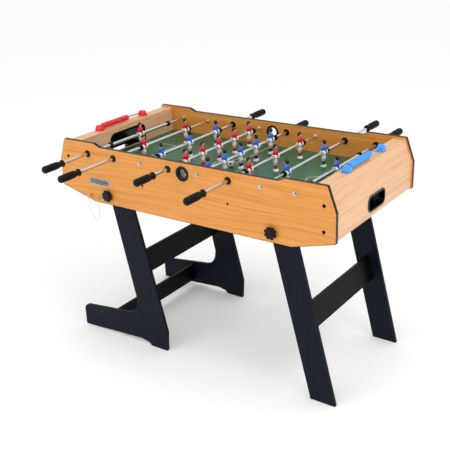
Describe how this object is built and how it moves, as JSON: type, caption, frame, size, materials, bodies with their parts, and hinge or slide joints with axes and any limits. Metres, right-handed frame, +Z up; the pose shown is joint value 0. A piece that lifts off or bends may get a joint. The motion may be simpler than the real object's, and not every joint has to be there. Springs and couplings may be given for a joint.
{
  "type": "foosball table",
  "caption": "Folding foosball table with a beech box, telescopic chrome rods of red and blue men, bead counters and folding black leg frames.",
  "frame": {"origin": "on the floor, under the middle of the table", "axes": "+X along the table to the blue goal, +Y along the rods to the blue players' side, +Z up"},
  "size_m": [1.21, 1.162, 0.8525],
  "materials": {
    "beech_laminate": "satin printed beech foil",
    "pine": "sawn",
    "pitch_board": "printed green foil",
    "leg_board": "blue-black foil",
    "black_trim": "satin edge band",
    "black_plastic": "moulded",
    "grip_rubber": "moulded",
    "bumper_rubber": "moulded",
    "chrome_tube": "polished",
    "steel": "zinc plated",
    "plate_metal": "printed",
    "men_red": "moulded and painted",
    "men_blue": "moulded and painted",
    "score_red": "moulded",
    "score_blue": "moulded",
    "score_rail_plastic": "moulded, red at the red end and blue at the blue end",
    "cord_braid": "braided",
    "ball_plastic": "white and black"
  },
  "bodies": {
    "cabinet": {"side_panels": "beech_laminate", "edge_trims": "black_trim", "end_boards": "beech_laminate", "playfield": "pitch_board", "support_battens": "pine", "goal_frames": "black_plastic", "ball_return_trays": "black_plastic", "ball_entry_cups": "black_plastic", "name_plate": "plate_metal", "cabinet_screws": "steel", "rod_bearings": "black_plastic", "inner_rods": "steel", "inner_rod_nuts": "steel", "score_rails": "score_rail_plastic", "pivot_spacers": "pine", "lanyard": "cord_braid"},
    "red_beads": {"score_beads_red": "score_red"},
    "blue_beads": {"score_beads_blue": "score_blue"},
    "stand_leg": {"stand_leg_boards": "leg_board", "stand_leg_stretchers": "leg_board"},
    "straight_leg": {"straight_leg_boards": "leg_board", "straight_leg_stretcher": "leg_board"},
    "stand_knob_front": {"knob_stand_front": "black_plastic"},
    "stand_knob_back": {"knob_stand_back": "black_plastic"},
    "straight_knob_front": {"knob_straight_front": "black_plastic"},
    "straight_knob_back": {"knob_straight_back": "black_plastic"},
    "pin": {"lock_pin": "steel"},
    "ball": {"ball": "ball_plastic"},
    "rod_1_bumper_pair": {"rod_1_bumpers": "bumper_rubber"},
    "rod_1": {"rod_1_tube": "chrome_tube", "rod_1_men": "men_red", "rod_1_handle": "grip_rubber"},
    "rod_2_bumper_pair": {"rod_2_bumpers": "bumper_rubber"},
    "rod_2": {"rod_2_tube": "chrome_tube", "rod_2_men": "men_red", "rod_2_handle": "grip_rubber"},
    "rod_3_bumper_pair": {"rod_3_bumpers": "bumper_rubber"},
    "rod_3": {"rod_3_tube": "chrome_tube", "rod_3_men": "men_blue", "rod_3_handle": "grip_rubber"},
    "rod_4_bumper_pair": {"rod_4_bumpers": "bumper_rubber"},
    "rod_4": {"rod_4_tube": "chrome_tube", "rod_4_men": "men_red", "rod_4_handle": "grip_rubber"},
    "rod_5_bumper_pair": {"rod_5_bumpers": "bumper_rubber"},
    "rod_5": {"rod_5_tube": "chrome_tube", "rod_5_men": "men_blue", "rod_5_handle": "grip_rubber"},
    "rod_6_bumper_pair": {"rod_6_bumpers": "bumper_rubber"},
    "rod_6": {"rod_6_tube": "chrome_tube", "rod_6_men": "men_red", "rod_6_handle": "grip_rubber"},
    "rod_7_bumper_pair": {"rod_7_bumpers": "bumper_rubber"},
    "rod_7": {"rod_7_tube": "chrome_tube", "rod_7_men": "men_blue", "rod_7_handle": "grip_rubber"},
    "rod_8_bumper_pair": {"rod_8_bumpers": "bumper_rubber"},
    "rod_8": {"rod_8_tube": "chrome_tube", "rod_8_men": "men_blue", "rod_8_handle": "grip_rubber"}
  },
  "joints": [
    {"name": "stand_leg_fold", "type": "hinge", "parent": "cabinet", "child": "stand_leg", "pos_m": [-0.366, 0, 0.637], "axis": [0, 1, 0], "range_deg": [0, 90]},
    {"name": "straight_leg_fold", "type": "hinge", "parent": "cabinet", "child": "straight_leg", "pos_m": [0.366, 0, 0.637], "axis": [0, 1, 0], "range_deg": [0, 104]},
    {"name": "stand_knob_front_turn", "type": "hinge", "parent": "cabinet", "child": "stand_knob_front", "pos_m": [-0.366, -0.32, 0.637], "axis": [0, -1, 0], "range_deg": [0, 360]},
    {"name": "stand_knob_back_turn", "type": "hinge", "parent": "cabinet", "child": "stand_knob_back", "pos_m": [-0.366, 0.32, 0.637], "axis": [0, 1, 0], "range_deg": [0, 360]},
    {"name": "straight_knob_front_turn", "type": "hinge", "parent": "cabinet", "child": "straight_knob_front", "pos_m": [0.366, -0.32, 0.637], "axis": [0, -1, 0], "range_deg": [0, 360]},
    {"name": "straight_knob_back_turn", "type": "hinge", "parent": "cabinet", "child": "straight_knob_back", "pos_m": [0.366, 0.32, 0.637], "axis": [0, 1, 0], "range_deg": [0, 360]},
    {"name": "lock_pin_slide", "type": "slide", "parent": "cabinet", "child": "pin", "axis": [0, 1, 0], "range_m": [-0.04, 0.012]},
    {"name": "red_beads_slide", "type": "slide", "parent": "cabinet", "child": "red_beads", "axis": [0, 1, 0], "range_m": [0, 0.078]},
    {"name": "blue_beads_slide", "type": "slide", "parent": "cabinet", "child": "blue_beads", "axis": [0, 1, 0], "range_m": [0, 0.078]},
    {"name": "ball_lift", "type": "slide", "parent": "cabinet", "child": "ball", "axis": [0, 0, 1], "range_m": [0, 0.12]},
    {"name": "rod_1_slide", "type": "slide", "parent": "cabinet", "child": "rod_1_bumper_pair", "axis": [0, 1, 0], "range_m": [-0.101, 0.093]},
    {"name": "rod_1_spin", "type": "hinge", "parent": "rod_1_bumper_pair", "child": "rod_1", "pos_m": [-0.455, 0, 0.79], "axis": [0, 1, 0], "continuous": true},
    {"name": "rod_2_slide", "type": "slide", "parent": "cabinet", "child": "rod_2_bumper_pair", "axis": [0, 1, 0], "range_m": [-0.132, 0.122]},
    {"name": "rod_2_spin", "type": "hinge", "parent": "rod_2_bumper_pair", "child": "rod_2", "pos_m": [-0.325, 0, 0.79], "axis": [0, 1, 0], "continuous": true},
    {"name": "rod_3_slide", "type": "slide", "parent": "cabinet", "child": "rod_3_bumper_pair", "axis": [0, 1, 0], "range_m": [-0.074, 0.084]},
    {"name": "rod_3_spin", "type": "hinge", "parent": "rod_3_bumper_pair", "child": "rod_3", "pos_m": [-0.195, 0, 0.79], "axis": [0, 1, 0], "continuous": true},
    {"name": "rod_4_slide", "type": "slide", "parent": "cabinet", "child": "rod_4_bumper_pair", "axis": [0, 1, 0], "range_m": [-0.049, 0.029]},
    {"name": "rod_4_spin", "type": "hinge", "parent": "rod_4_bumper_pair", "child": "rod_4", "pos_m": [-0.065, 0, 0.79], "axis": [0, 1, 0], "continuous": true},
    {"name": "rod_5_slide", "type": "slide", "parent": "cabinet", "child": "rod_5_bumper_pair", "axis": [0, 1, 0], "range_m": [-0.005, 0.073]},
    {"name": "rod_5_spin", "type": "hinge", "parent": "rod_5_bumper_pair", "child": "rod_5", "pos_m": [0.065, 0, 0.79], "axis": [0, 1, 0], "continuous": true},
    {"name": "rod_6_slide", "type": "slide", "parent": "cabinet", "child": "rod_6_bumper_pair", "axis": [0, 1, 0], "range_m": [-0.079, 0.079]},
    {"name": "rod_6_spin", "type": "hinge", "parent": "rod_6_bumper_pair", "child": "rod_6", "pos_m": [0.195, 0, 0.79], "axis": [0, 1, 0], "continuous": true},
    {"name": "rod_7_slide", "type": "slide", "parent": "cabinet", "child": "rod_7_bumper_pair", "axis": [0, 1, 0], "range_m": [-0.122, 0.132]},
    {"name": "rod_7_spin", "type": "hinge", "parent": "rod_7_bumper_pair", "child": "rod_7", "pos_m": [0.325, 0, 0.79], "axis": [0, 1, 0], "continuous": true},
    {"name": "rod_8_slide", "type": "slide", "parent": "cabinet", "child": "rod_8_bumper_pair", "axis": [0, 1, 0], "range_m": [-0.075, 0.119]},
    {"name": "rod_8_spin", "type": "hinge", "parent": "rod_8_bumper_pair", "child": "rod_8", "pos_m": [0.455, 0, 0.79], "axis": [0, 1, 0], "continuous": true}
  ]
}
